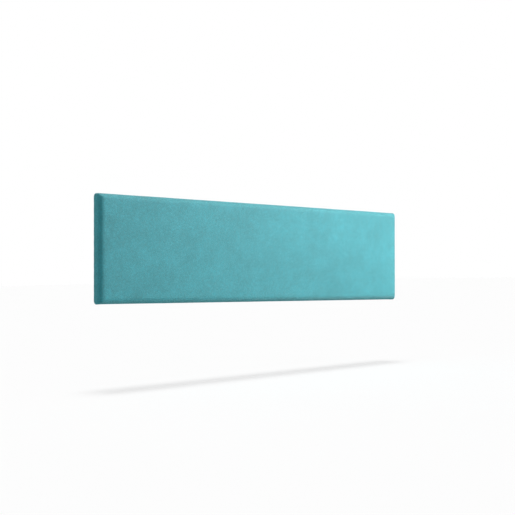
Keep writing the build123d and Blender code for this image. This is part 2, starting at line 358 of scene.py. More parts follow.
class Effects:
    """Shader node groups that several finishes use, each built when it is first asked for."""

    @staticmethod
    def group(name: str, inputs: dict[str, float], outputs: Sequence[str]) -> tuple[Wiring, Any, Any]:
        """Starts a group with a Place input and the named values.

        Args:
            name: the group's name.
            inputs: its value inputs and their usual values.
            outputs: its value outputs.

        Returns:
            The group's wiring, its inputs' sockets and its outputs' sockets.
        """
        tree = bpy.data.node_groups.new(name, "ShaderNodeTree")
        tree.interface.new_socket(name="Place", in_out="INPUT", socket_type="NodeSocketVector")
        for label, value in inputs.items():
            socket = tree.interface.new_socket(name=label, in_out="INPUT", socket_type="NodeSocketFloat")
            socket.default_value = value
        for label in outputs:
            tree.interface.new_socket(name=label, in_out="OUTPUT", socket_type="NodeSocketFloat")
        wires = Wiring(tree)
        return wires, wires.node("NodeGroupInput").outputs, wires.node("NodeGroupOutput").inputs

    @cached_property
    def clouds(self) -> bpy.types.NodeTree:
        """Soft uneven shading: Shade varies about 1 by Amount, Height runs from 0 to 1.

        Returns:
            The group's node tree.
        """
        wires, given, made = self.group("clouds", {"Scale": 20.0, "Amount": 0.1}, ("Shade", "Height"))
        lumps = wires.noise(given["Place"], given["Scale"], 3.0, 0.55)
        wires.feed(made["Shade"], wires.about_one(lumps, given["Amount"], *NOISE_RANGE))
        wires.feed(made["Height"], wires.spread(lumps, 0.0, 1.0, *NOISE_RANGE))
        return wires.tree

    @cached_property
    def fibres(self) -> bpy.types.NodeTree:
        """Fine short fibres that lie in three directions.

        Returns:
            The group's node tree.
        """
        wires, given, made = self.group("fibres", {"Scale": 900.0, "Amount": 0.1}, ("Shade", "Height"))
        total: Feed = 0.0
        for angles in ((0.3, 0.2, 0.1), (1.2, 0.9, 0.4), (0.6, 2.2, 1.1)):
            lying = wires.turned(given["Place"], (1.0, 0.16, 1.0), angles)
            total = wires.sum("ADD", total, wires.noise(lying, given["Scale"], 1.0, 0.4))
        height = wires.spread(total, 0.0, 1.0, 1.2, 1.8)
        wires.feed(made["Shade"], wires.about_one(height, given["Amount"]))
        wires.feed(made["Height"], height)
        return wires.tree

    @cached_property
    def drawn_lines(self) -> bpy.types.NodeTree:
        """Long fine lines along X, as on extruded metal, sawn wood and woven ribbon.

        Returns:
            The group's node tree.
        """
        usual = {"Across": 1500.0, "Along": 0.01, "Amount": 0.1}
        wires, given, made = self.group("drawn_lines", usual, ("Shade", "Height"))
        lengthways = wires.node("ShaderNodeCombineXYZ", {0: given["Along"], 1: 1.0, 2: 1.0}).outputs[0]
        drawn = wires.node("ShaderNodeVectorMath", {0: given["Place"], 1: lengthways}, operation="MULTIPLY")
        lines = wires.noise(drawn.outputs[0], given["Across"], 3.0, 0.6)
        wires.feed(made["Shade"], wires.about_one(lines, given["Amount"], *NOISE_RANGE))
        wires.feed(made["Height"], wires.spread(lines, 0.0, 1.0, *NOISE_RANGE))
        return wires.tree

    @cached_property
    def handling(self) -> bpy.types.NodeTree:
        """Marks of use: thin scratches and a little settled dust, each a mask from 0 to 1.

        Returns:
            The group's node tree.
        """
        wires, given, made = self.group("handling", {"Scale": 60.0}, ("Scratches", "Dust"))
        scratches: Feed = 0.0
        for angles in ((0.2, 0.5, 0.3), (0.9, 1.6, 0.8)):
            lying = wires.turned(given["Place"], (1.0, 0.05, 1.0), angles)
            thin = wires.sum("ABSOLUTE", wires.sum("SUBTRACT", wires.noise(lying, given["Scale"]), 0.5))
            scratches = wires.sum("MAXIMUM", scratches, wires.spread(thin, 1.0, 0.0, 0.0, 0.006))
        dust = wires.noise(given["Place"], wires.sum("MULTIPLY", given["Scale"], 0.5), 5.0, 0.7)
        wires.feed(made["Scratches"], scratches)
        wires.feed(made["Dust"], wires.spread(dust, 0.0, 1.0, 0.48, 0.72))
        return wires.tree


EFFECTS = Effects()


# ---- Finishes ----


@dataclass(frozen=True)
class Finish:
    """What every finish has: its slot name and a base colour."""

    slot: str
    colour: Colour

    def material(self) -> bpy.types.Material:
        """Builds the finish once.

        Returns:
            The finished material.
        """
        known = bpy.data.materials.get(self.slot + "_finish")
        if known is not None:
            return known
        made = bpy.data.materials.new(self.slot + "_finish")
        wires = blank_wiring(made)
        shader = wires.node("ShaderNodeBsdfPrincipled")
        for name, value in self.wire(wires, wires.place()).items():
            wires.feed(shader.inputs[name], value)
        output = wires.node("ShaderNodeOutputMaterial")
        wires.feed(output.inputs["Surface"], shader.outputs[0])
        return made

    def wire(self, wires: Wiring, place: Socket) -> Inputs:
        """Wires this finish's pattern.

        Args:
            wires: the material's wiring.
            place: the piece's own coordinates.

        Returns:
            What each of the shader's inputs gets; the plain values are set on the shader itself.
        """
        raise NotImplementedError

    @staticmethod
    def looks(colour: Feed, rough: Feed, normal: Feed, sheen: float = 0.0) -> Inputs:
        """The inputs that most finishes set."""
        return {"Base Color": colour, "Roughness": rough, "Normal": normal, "Sheen Weight": sheen}

    def dress(self, piece: bpy.types.Object) -> None:
        """Puts the finish on a piece, in place of any that it has.

        Args:
            piece: the piece; a CAD part has slots already.
        """
        if piece.material_slots:
            for place in piece.material_slots:
                place.material = self.material()
        else:
            piece.data.materials.append(self.material())


@dataclass(frozen=True)
class Velour(Finish):
    """Short dense pile that turns pale where it lies over; its colour is the pale one."""

    deep: Colour = (0.014, 0.297, 0.348)
    sheen: Colour = (0.55, 1.0, 1.0)
    brushed_size: float = 0.1
    stroked_size: float = 0.034
    ruffled_size: float = 0.0045
    pile_size: float = 0.0006
    pile_height: float = 0.00035

    def wire(self, wires: Wiring, place: Socket) -> Inputs:
        """Clouds of brushed pile, small ruffled patches and the pile's own tips.

        Args:
            wires: the material's wiring.
            place: the piece's own coordinates.

        Returns:
            What the shader's inputs get.
        """
        sizes = ((self.brushed_size, 0.06), (self.stroked_size, 0.06), (self.ruffled_size, 0.15))
        brushed, stroked, ruffled = (
            wires.effect(EFFECTS.clouds, place, Scale=1.0 / size, Amount=amount) for size, amount in sizes
        )
        tips = wires.effect(EFFECTS.fibres, place, Scale=1.0 / self.pile_size, Amount=0.3)
        lay = wires.sum("MULTIPLY", wires.sum("ADD", brushed["Height"], stroked["Height"]), 0.5)
        toned = wires.tint(wires.spread(lay, 0.05, 0.95), self.deep, self.colour)
        toned = wires.shade(toned, ruffled["Shade"], tips["Shade"])
        ground = wires.bump(ruffled["Height"], 0.2 * self.pile_height)
        rough = wires.spread(tips["Height"], 0.7, 0.58)
        normal = wires.bump(tips["Height"], self.pile_height, ground)
        shine = {"Specular IOR Level": 0.75, "Sheen Roughness": 0.5, "Sheen Tint": (*self.sheen, 1.0)}
        return self.looks(toned, rough, normal, 0.75) | shine


@dataclass(frozen=True)
class Wadding(Finish):
    """Loose white polyester fibres."""

    lump_height: float = 0.001
    fibre_height: float = 0.0006

    def wire(self, wires: Wiring, place: Socket) -> Inputs:
        """Fibres over soft lumps.

        Args:
            wires: the material's wiring.
            place: the piece's own coordinates.

        Returns:
            What the shader's inputs get.
        """
        lumps = wires.effect(EFFECTS.clouds, place, Scale=60.0, Amount=0.08)
        threads = wires.effect(EFFECTS.fibres, place, Scale=500.0, Amount=0.12)
        toned = wires.shade(self.colour, lumps["Shade"], threads["Shade"])
        ground = wires.bump(lumps["Height"], self.lump_height)
        rough = wires.spread(threads["Height"], 1.0, 0.85)
        return self.looks(toned, rough, wires.bump(threads["Height"], self.fibre_height, ground), 0.4)


@dataclass(frozen=True)
class Foam(Finish):
    """Cut foam with open cells."""

    cell_size: float = 0.0008

    def wire(self, wires: Wiring, place: Socket) -> Inputs:
        """Cells with painted shade in their hollows, and a slow change of tone.

        Args:
            wires: the material's wiring.
            place: the piece's own coordinates.

        Returns:
            What the shader's inputs get.
        """
        tone = wires.effect(EFFECTS.clouds, place, Scale=14.0, Amount=0.05)
        cells = wires.node("ShaderNodeTexVoronoi", {"Vector": place, "Scale": 1.0 / self.cell_size})
        hollow_shade_and_height = wires.spread(cells.outputs[0], 0.0, 1.0, 0.1, 0.6)
        # painted shade: the cells' hollows are darkened to 0.72 of the foam's colour, the walls a little
        # lighter
        toned = wires.shade(self.colour, tone["Shade"], wires.spread(hollow_shade_and_height, 0.72, 1.05))
        normal = wires.bump(hollow_shade_and_height, 0.4 * self.cell_size)
        return self.looks(toned, wires.spread(hollow_shade_and_height, 1.0, 0.8), normal)


@dataclass(frozen=True)
class Plywood(Finish):
    """Birch plywood: long grain on the faces and thin plies on the edges."""

    dark: Colour = (0.32, 0.19, 0.09)
    ply: float = 0.0013
    pore_depth: float = 0.0001

    def wire(self, wires: Wiring, place: Socket) -> Inputs:
        """Stripes across the thickness, grain along the board.

        Args:
            wires: the material's wiring.
            place: the piece's own coordinates.

        Returns:
            What the shader's inputs get.
        """
        grain = wires.effect(EFFECTS.drawn_lines, place, Across=260.0, Along=0.03, Amount=0.18)
        pores = wires.effect(EFFECTS.drawn_lines, place, Across=2200.0, Along=0.06, Amount=0.1)
        depth = wires.node("ShaderNodeSeparateXYZ", {0: place}).outputs[1]
        layer = wires.sum("PINGPONG", depth, self.ply)
        plies = wires.spread(layer, 0.0, 0.45, 0.3 * self.ply, 0.7 * self.ply)
        toned = wires.tint(plies, self.colour, self.dark)
        toned = wires.shade(toned, grain["Shade"], pores["Shade"])
        rough = wires.spread(grain["Height"], 0.75, 0.55)
        return self.looks(toned, rough, wires.bump(pores["Height"], self.pore_depth))


@dataclass(frozen=True)
class Nonwoven(Finish):
    """Thin black cloth of bonded fibres, pressed together in small dots."""

    dust: Colour = (0.16, 0.15, 0.14)
    dot_pitch: float = 0.0022
    dot_depth: float = 0.00015
    fibre_height: float = 0.00012

    def wire(self, wires: Wiring, place: Socket) -> Inputs:
        """Rows of pressed dots over lying fibres.

        Args:
            wires: the material's wiring.
            place: the piece's own coordinates.

        Returns:
            What the shader's inputs get.
        """
        threads = wires.effect(EFFECTS.fibres, place, Scale=700.0, Amount=0.3)
        tone = wires.effect(EFFECTS.clouds, place, Scale=35.0, Amount=0.12)
        used = wires.effect(EFFECTS.handling, place, Scale=25.0)
        turned = wires.turned(place, (1.0, 1.0, 1.0), (0.0, math.radians(45.0), 0.0))
        parts = wires.node("ShaderNodeSeparateXYZ", {0: turned}).outputs
        turn = 2.0 * math.pi / self.dot_pitch
        waves = [wires.sum("COSINE", wires.sum("MULTIPLY", parts[axis], turn)) for axis in (0, 2)]
        dots = wires.spread(wires.sum("MULTIPLY", *waves), 0.0, 1.0, 0.25, 0.7)
        pressed = tuple(0.35 * part for part in self.colour)
        toned = wires.shade(self.colour, threads["Shade"], tone["Shade"])
        toned = wires.tint(wires.sum("MULTIPLY", dots, 0.6), toned, pressed)
        toned = wires.tint(wires.sum("MULTIPLY", used["Dust"], 0.12), toned, self.dust)
        ground = wires.bump(wires.sum("SUBTRACT", 1.0, dots), self.dot_depth)
        rough = wires.spread(dots, 0.88, 0.55)
        return self.looks(toned, rough, wires.bump(threads["Height"], self.fibre_height, ground), 0.15)


@dataclass(frozen=True)
class Ribbon(Finish):
    """Satin ribbon, woven in fine rows."""

    row: float = 0.0005
    row_depth: float = 0.0001

    def wire(self, wires: Wiring, place: Socket) -> Inputs:
        """Weft rows with painted shade in the furrows between them, and threads that shine along them.

        Args:
            wires: the material's wiring.
            place: the piece's own coordinates.

        Returns:
            What the shader's inputs get.
        """
        threads = wires.effect(EFFECTS.drawn_lines, place, Across=3000.0, Along=0.12, Amount=0.06)
        tone = wires.effect(EFFECTS.clouds, place, Scale=90.0, Amount=0.04)
        height = wires.node("ShaderNodeSeparateXYZ", {0: place}).outputs[2]
        rib_height_and_furrow_shade = wires.spread(wires.sum("PINGPONG", height, self.row), 0.0, 1.0, 0.0, self.row)
        # painted shade: the furrows between the weft rows are darkened to 0.93 of the ribbon's colour
        toned = wires.shade(self.colour, threads["Shade"], tone["Shade"], wires.spread(rib_height_and_furrow_shade, 0.93, 1.0))
        rough = wires.spread(threads["Height"], 0.5, 0.35)
        return self.looks(toned, rough, wires.bump(rib_height_and_furrow_shade, self.row_depth), 0.3)


class MetalKind(Enum):
    """How a metal part is made; the value is how many drawn lines it has to a metre."""

    EXTRUDED = 2600.0
    WIRE = 5000.0
    PLATED = 0.0


@dataclass(frozen=True)
class Metal(Finish):
    """Aluminium, plated steel or wire."""

    kind: MetalKind = MetalKind.PLATED
    rough: Pair = (0.3, 0.45)
    bare: Colour = (0.85, 0.86, 0.87)
    plating_depth: float = 0.00006
    line_depth: float = 0.00003

    def wire(self, wires: Wiring, place: Socket) -> Inputs:
        """Drawn lines or mottled plating, with scratches and a little dust.

        Args:
            wires: the material's wiring.
            place: the piece's own coordinates.

        Returns:
            What the shader's inputs get.
        """
        used = wires.effect(EFFECTS.handling, place, Scale=70.0)
        if self.kind is MetalKind.PLATED:
            marks = wires.effect(EFFECTS.clouds, place, Scale=420.0, Amount=0.1)
            depth = self.plating_depth
        else:
            lines = {"Across": self.kind.value, "Along": 0.004, "Amount": 0.08}
            marks = wires.effect(EFFECTS.drawn_lines, place, **lines)
            depth = self.line_depth
        toned = wires.shade(self.colour, marks["Shade"])
        toned = wires.tint(wires.sum("MULTIPLY", used["Scratches"], 0.35), toned, self.bare)
        even = wires.spread(marks["Height"], *self.rough)
        rough = wires.sum("ADD", even, wires.sum("MULTIPLY", used["Dust"], 0.12))
        metallic = {"Metallic": wires.spread(used["Dust"], 1.0, 0.9)}
        return self.looks(toned, rough, wires.bump(marks["Height"], depth)) | metallic


@dataclass(frozen=True)
class Rubber(Finish):
    """Moulded rubber with a fine grain."""

    dust: Colour = (0.13, 0.125, 0.12)
    grain_height: float = 0.00008

    def wire(self, wires: Wiring, place: Socket) -> Inputs:
        """Fine grain, worn tone and dust.

        Args:
            wires: the material's wiring.
            place: the piece's own coordinates.

        Returns:
            What the shader's inputs get.
        """
        grain = wires.effect(EFFECTS.clouds, place, Scale=2400.0, Amount=0.15)
        tone = wires.effect(EFFECTS.clouds, place, Scale=120.0, Amount=0.2)
        used = wires.effect(EFFECTS.handling, place, Scale=180.0)
        toned = wires.shade(self.colour, grain["Shade"], tone["Shade"])
        toned = wires.tint(wires.sum("MULTIPLY", used["Dust"], 0.2), toned, self.dust)
        rough = wires.spread(tone["Height"], 0.6, 0.8)
        return self.looks(toned, rough, wires.bump(grain["Height"], self.grain_height))


VELOUR = Velour("turquoise_velour", (0.03, 0.42, 0.492))
WADDING = Wadding("polyester_wadding", (0.82, 0.82, 0.8))
SOFT_FOAM = Foam("soft_foam", (0.78, 0.74, 0.55))
FIRM_FOAM = Foam("firm_foam", (0.42, 0.44, 0.46), cell_size=0.0005)
PLYWOOD = Plywood("plywood", (0.62, 0.45, 0.27))
NONWOVEN = Nonwoven("black_nonwoven", (0.022, 0.022, 0.024))
RIBBON = Ribbon("label_ribbon", (0.8, 0.79, 0.75))
RAIL = Metal("rail_aluminium", (0.72, 0.73, 0.74), MetalKind.EXTRUDED, (0.32, 0.5))
ZINC = Metal("zinc_steel", (0.6, 0.63, 0.66), MetalKind.PLATED, (0.25, 0.42))
STAPLE_WIRE = Metal("staple_wire", (0.6, 0.61, 0.6), MetalKind.WIRE, (0.3, 0.42))
RUBBER = Rubber("bumper_rubber", (0.018, 0.018, 0.019))


# ---- Cover and padding ----


@dataclass
class PaddedForm:
    """Outline of the covered panel: a box with round front edges and tight corners."""

    low: Vector
    high: Vector
    edge_radius: float = 17 * MM
    back_radius: float = 2.5 * MM
    return_width: float = 38 * MM
    front_slack: float = 1.2 * MM
    shoulder_drop: float = 1.5 * MM
    shoulder_width: float = 36 * MM
    squareness: float = 5.0
    pitch: float = 8 * MM
    border: tuple[float, ...] = (
        0.8, 1.7, 2.5, 4, 5.6, 7.2, 8.8, 10.4, 12, 13.6, 15.3, 17, 20, 23.5, 27, 30.5, 34, 38
    )
    front_cuts: tuple[float, ...] = (1.6, 3.2, 4.8, 6.4, 8, 9.8, 11.6, 13.4, 15.2, 17)
    side_cuts: int = 5
    back_cuts: int = 3

    @property
    def start_front(self) -> float:
        """Y of the front face before the padding presses it out."""
        return self.low.y + self.front_slack

    def depths(self) -> list[float]:
        """Finds the cuts from the front to the back, close together at the round edges.

        Returns:
            Every place along Y, the front face and the back among them.
        """
        front = [self.start_front + place * MM for place in (0.0, *self.front_cuts)]
        bend = self.high.y - self.back_radius
        run, steps = bend - front[-1], range(1, self.side_cuts + 1)
        sides = [front[-1] + run * step / self.side_cuts for step in steps]
        back = [bend + self.back_radius * step / self.back_cuts for step in range(1, self.back_cuts + 1)]
        return front + sides + back

    def surface(self) -> bmesh.types.BMesh:
        """Cuts a cube into a grid, opens its back and rounds it.

        Returns:
            The cover's outer surface, open inside the return.
        """
        border = [place * MM for place in self.border]
        places = (
            stations(self.low.x, self.high.x, border, self.pitch),
            self.depths(),
            stations(self.low.z, self.high.z, border, self.pitch),
        )
        bm = bmesh.new()
        bmesh.ops.create_cube(bm, size=1.0)
        for axis, cuts in enumerate(places):
            along = [e for e in bm.edges if abs(e.verts[0].co[axis] - e.verts[1].co[axis]) > 0.5]
            bmesh.ops.subdivide_edges(bm, edges=along, cuts=len(cuts) - 2, use_grid_fill=True)
        for axis, cuts in enumerate(places):
            respace(bm, axis, cuts)
        window = [face for face in bm.faces if self.in_window(face.calc_center_median())]
        bmesh.ops.delete(bm, geom=window, context="FACES")
        for vert in bm.verts:
            vert.co = self.rounded(vert.co)
        bmesh.ops.recalc_face_normals(bm, faces=bm.faces[:])
        return bm

    def in_window(self, point: Vector) -> bool:
        """True for a point on the back that lies inside the return."""
        inside = min(insets(point, self.low, self.high)) > self.return_width
        return inside and point.y > self.high.y - 0.1 * MM

    def rounded(self, point: Vector) -> Vector:
        """Moves a point of the square box onto the rounded form.

        Args:
            point: on the box's surface.

        Returns:
            Its place on the rounded form.
        """
        radius, back = self.edge_radius, self.back_radius
        core_x, core_z = held_back(point, self.low, self.high, radius)
        out_x, out_z = point.x - core_x, point.z - core_z
        ring = max(abs(out_x), abs(out_z))
        ahead = self.start_front + radius - point.y
        drop = self.shoulder(point) * smooth_step(ahead, 0.0, radius)
        if ring == 0.0:
            return point + Vector((0.0, drop, 0.0))
        power = self.squareness
        norm = (abs(out_x) ** power + abs(out_z) ** power) ** (1.0 / power)
        reach, y = ring, point.y
        behind = point.y - (self.high.y - back)
        if ahead > 0.0:
            share = radius / math.hypot(ring, ahead)
            reach, y = ring * share, point.y + ahead * (1.0 - share) + drop
        elif behind > 0.0 and ring > radius - back:
            beyond = ring - (radius - back)
            share = back / math.hypot(beyond, behind)
            reach, y = radius - back + beyond * share, point.y - behind * (1.0 - share)
        return Vector((core_x + out_x / norm * reach, y, core_z + out_z / norm * reach))

    def shoulder(self, point: Vector) -> float:
        """How far the front falls away at a point near its edges, as tight cloth does.

        Args:
            point: on the box's surface.

        Returns:
            The drop towards the wall, in metres.
        """
        shares = (1.0 - distance / self.shoulder_width for distance in insets(point, self.low, self.high))
        near = sum(max(share, 0.0) ** 3 for share in shares) ** (1 / 3)
        return self.shoulder_drop * min(near, 1.2) ** 2

    def flat_size(self) -> tuple[float, float]:
        """Measures what the cover was cut to, along its outer surface.

        Returns:
            The length along X and the width along Z, in metres.
        """
        depth = self.high.y - self.low.y
        quarter_turns = math.pi / 2 * (self.edge_radius + self.back_radius)
        side = depth - self.edge_radius - self.back_radius
        turned = quarter_turns + side + self.return_width - self.back_radius - self.edge_radius
        size = self.high - self.low
        return size.x + 2 * turned, size.z + 2 * turned


@dataclass
class VelourCover:
    """The velour sheet over the panel's front and sides, stapled on the back of the board."""

    form: PaddedForm
    thickness: float = 1.2 * MM
    pressure: float = 4.0
    cloth_mass: float = 0.3
    frames: int = 20
    front_cap: float = 1.2 * MM
    side_cap: float = 0.3 * MM
    uneven: float = 0.35 * MM
    staple_pitch: float = 30 * MM
    pucker: float = 0.3 * MM
    fold_height: float = 0.8 * MM
    fold_width: float = 9 * MM
    fold_reach: float = 60 * MM
    pucker_width: float = 14 * MM
    side_depth: float = 3 * MM
    facing: float = 0.6
    wide_lumps: float = 9.0
    near_lumps: float = 24.0
    shaped: bpy.types.Object = field(init=False)
    padding_surface: bpy.types.Mesh = field(init=False)

    def build(self) -> None:
        """Makes, presses out, folds and dresses the cover."""
        self.shaped = new_piece("velour_skin", self.form.surface())
        self.press_out()
        self.soften()
        self.padding_surface = self.shaped.data.copy()
        self.fold_corners()
        give_thickness(self.shaped, self.thickness)
        hand_over(self.shaped, VELOUR, "velour_cover")
        self.form.flat_size()

    def press_out(self) -> None:
        """Lets the padding press the cover out, as cloth under pressure held by its return."""
        start = [vert.co.copy() for vert in self.shaped.data.vertices]
        held_from = self.form.high.y - self.side_depth
        held = [index for index, place in enumerate(start) if place.y > held_from]
        ends = self.simulated_press(held)
        farthest = max(before.y - after.y for before, after in zip(start, ends))
        for vert, before, after in zip(self.shaped.data.vertices, start, ends):
            vert.co = before + self.capped(after - before, farthest)

    def simulated_press(self, held: Sequence[int]) -> list[Vector]:
        """Runs the cloth and reads where each point ends.

        Args:
            held: numbers of the points that the staples hold.

        Returns:
            The end of each point.
        """
        group = self.shaped.vertex_groups.new(name="stapled")
        group.add(list(held), 1.0, "REPLACE")
        cloth = self.shaped.modifiers.new("press_out", "CLOTH")
        cloth.settings.quality = 5
        cloth.settings.mass = self.cloth_mass
        cloth.settings.use_pressure = True
        cloth.settings.uniform_pressure_force = self.pressure
        cloth.settings.vertex_group_mass = group.name
        cloth.settings.effector_weights.gravity = 0.0
        scene = bpy.context.scene
        for step in range(1, self.frames + 1):
            scene.frame_set(step)
        shown = self.shaped.evaluated_get(bpy.context.evaluated_depsgraph_get())
        ends = [vert.co.copy() for vert in shown.data.vertices]
        self.shaped.modifiers.remove(cloth)
        scene.frame_set(1)
        return ends

    def capped(self, move: Vector, farthest: float) -> Vector:
        """Limits a point's move.

        Args:
            move: how far the cloth took it.
            farthest: how far the cloth took the middle of the front.

        Returns:
            The move, scaled so that the middle of the front goes as far as its cap.
        """
        return Vector((
            self.side_cap * math.tanh(move.x / farthest),
            self.front_cap * move.y / farthest,
            self.side_cap * math.tanh(move.z / farthest),
        ))

    def soften(self) -> None:
        """Adds the slight unevenness of hand-laid foam and wadding to the front and its edges."""
        mesh = self.shaped.data
        moves = []
        for vert in mesh.vertices:
            free = smooth_step(self.form.high.y - 8 * MM - vert.co.y, 0.0, 12 * MM)
            wide = noise.noise(vert.co * self.wide_lumps + Vector((3.1, 0.0, 7.7)))
            near = noise.noise(vert.co * self.near_lumps + Vector((11.0, 5.0, 2.0)))
            moves.append(vert.normal * free * self.uneven * (wide + 0.45 * near - 0.35))
        shift_points(mesh, moves)

    def fold_corners(self) -> None:
        """Lays the folds at the corners and puckers the back edge between the staples."""
        mesh, form = self.shaped.data, self.form
        moves = []
        for vert in mesh.vertices:
            place, normal = vert.co, vert.normal
            corner_x, corner_z = insets(place, form.low, form.high)
            lift = 0.0
            if abs(normal.z) > self.facing and corner_z < self.side_depth:
                rear = smooth_step(place.y, form.start_front + 6 * MM, form.high.y - self.side_depth)
                lift = rear * self.fold(corner_x)
            elif normal.y > self.facing:
                along = corner_x - corner_z
                lift = self.fold(self.fold_width - along) if along > 0 else 0.0
                lift *= smooth_step(form.return_width - corner_z, 4 * MM, 26 * MM)
                lift *= smooth_step(self.fold_reach - corner_x, 0.0, 20 * MM)
            near_back = smooth_step(place.y, form.high.y - self.pucker_width, form.high.y - 1 * MM)
            edge = smooth_step(self.pucker_width - min(corner_x, corner_z), 0.0, 12 * MM)
            run = place.z - (form.low.z + form.high.z) / 2 if corner_x < corner_z else place.x
            lift += self.pucker * near_back * edge * between_staples(run, self.staple_pitch)
            moves.append(normal * lift)
        shift_points(mesh, moves)

    def fold(self, distance: float) -> float:
        """Height of a flat fold at a distance from the corner, steep at its far side.

        Args:
            distance: how far from the corner.

        Returns:
            The height over the cloth, in metres.
        """
        if distance < 0.0:
            return 0.0
        rise = smooth_step(distance, 0.0, 0.6 * self.fold_width)
        fall = smooth_step(distance, self.fold_width - 1.5 * MM, self.fold_width)
        return self.fold_height * rise * (1.0 - fall)


@dataclass
class Padding:
    """Wadding, foam and firm underlay inside the cover, each following the cover's shape."""

    surface: bpy.types.Mesh
    cover_gap: float = 1.25 * MM
    wadding_thickness: float = 3.7 * MM
    foam_gap: float = 5.02 * MM
    corner_radius: float = 2 * MM
    rim_radius: float = 0.3 * MM

    def build(self) -> None:
        """Makes and dresses the three layers."""
        self.wadding_layer()
        self.foam_core()
        self.firm_sheet()

    def sunk(self, distance: float, cut_y: float) -> bmesh.types.BMesh:
        """The cover's surface moved inwards and cut off towards the wall.

        Args:
            distance: how far inwards.
            cut_y: what lies behind this plane goes.

        Returns:
            The open surface.
        """
        bm = bmesh.new()
        bm.from_mesh(self.surface)
        steps = 4
        for _ in range(steps):
            bm.normal_update()
            moved = [vert.co - vert.normal * (distance / steps) for vert in bm.verts]
            for vert, place in zip(bm.verts, moved):
                vert.co = place
        every = bm.verts[:] + bm.edges[:] + bm.faces[:]
        bmesh.ops.bisect_plane(
            bm, geom=every, dist=1e-6, plane_co=(0.0, cut_y, 0.0), plane_no=(0.0, 1.0, 0.0), clear_outer=True
        )
        return bm

    def wadding_layer(self) -> None:
        """Thin wadding under the whole cover, down to the back of the board."""
        piece = new_piece("wadding_layer", self.sunk(self.cover_gap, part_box("backboard")[1].y))
        give_thickness(piece, self.wadding_thickness)
        hand_over(piece, WADDING, "wadding")

    def foam_core(self) -> None:
        """Soft foam with round front edges, closed at its back."""
        bm = self.sunk(self.foam_gap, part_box("soft_foam")[1].y)
        bmesh.ops.edgeloop_fill(bm, edges=[edge for edge in bm.edges if edge.is_boundary])
        bmesh.ops.recalc_face_normals(bm, faces=bm.faces[:])
        self.solid_foam("foam_core", bm, 50.0, SOFT_FOAM, "soft_foam")

    def firm_sheet(self) -> None:
        """Thin firm foam between the soft foam and the board."""
        low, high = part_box("firm_underlay")
        bm = bmesh.new()
        bmesh.ops.create_cube(bm, size=1.0)
        bmesh.ops.scale(bm, vec=high - low, verts=bm.verts[:])
        bmesh.ops.translate(bm, vec=(low + high) / 2, verts=bm.verts[:])
        upright = [e for e in bm.edges if abs(e.verts[0].co.y - e.verts[1].co.y) > 1 * MM]
        self.bevel(bm, upright, self.corner_radius, 5)
        rims = [e for e in bm.edges if len(e.link_faces) == 2 and e.calc_face_angle(0.0) > math.radians(60)]
        self.bevel(bm, rims, self.rim_radius, 2)
        self.solid_foam("underlay_sheet", bm, 40.0, FIRM_FOAM, "firm_underlay")

    @staticmethod
    def solid_foam(name: str, bm: bmesh.types.BMesh, crease: float, finish: Finish, replaced: str) -> None:
        """Makes a closed foam piece.

        Args:
            name: the piece's name.
            bm: its shape.
            crease: edges sharper than this many degrees stay sharp.
            finish: its finish.
            replaced: the CAD node that it stands for.
        """
        piece = new_piece(name, bm)
        piece.data.set_sharp_from_angle(angle=math.radians(crease))
        hand_over(piece, finish, replaced)

    @staticmethod
    def bevel(bm: bmesh.types.BMesh, edges: Iterable[Any], offset: float, segments: int) -> None:
        """Rounds edges.

        Args:
            bm: the shape.
            edges: the edges to round.
            offset: the radius.
            segments: how many faces go round it.
        """
        bmesh.ops.bevel(
            bm, geom=list(edges), offset=offset, offset_type="OFFSET", segments=segments, profile=0.5,
            affect="EDGES", material=-1, clamp_overlap=True,
        )


# ---- Back of the panel ----


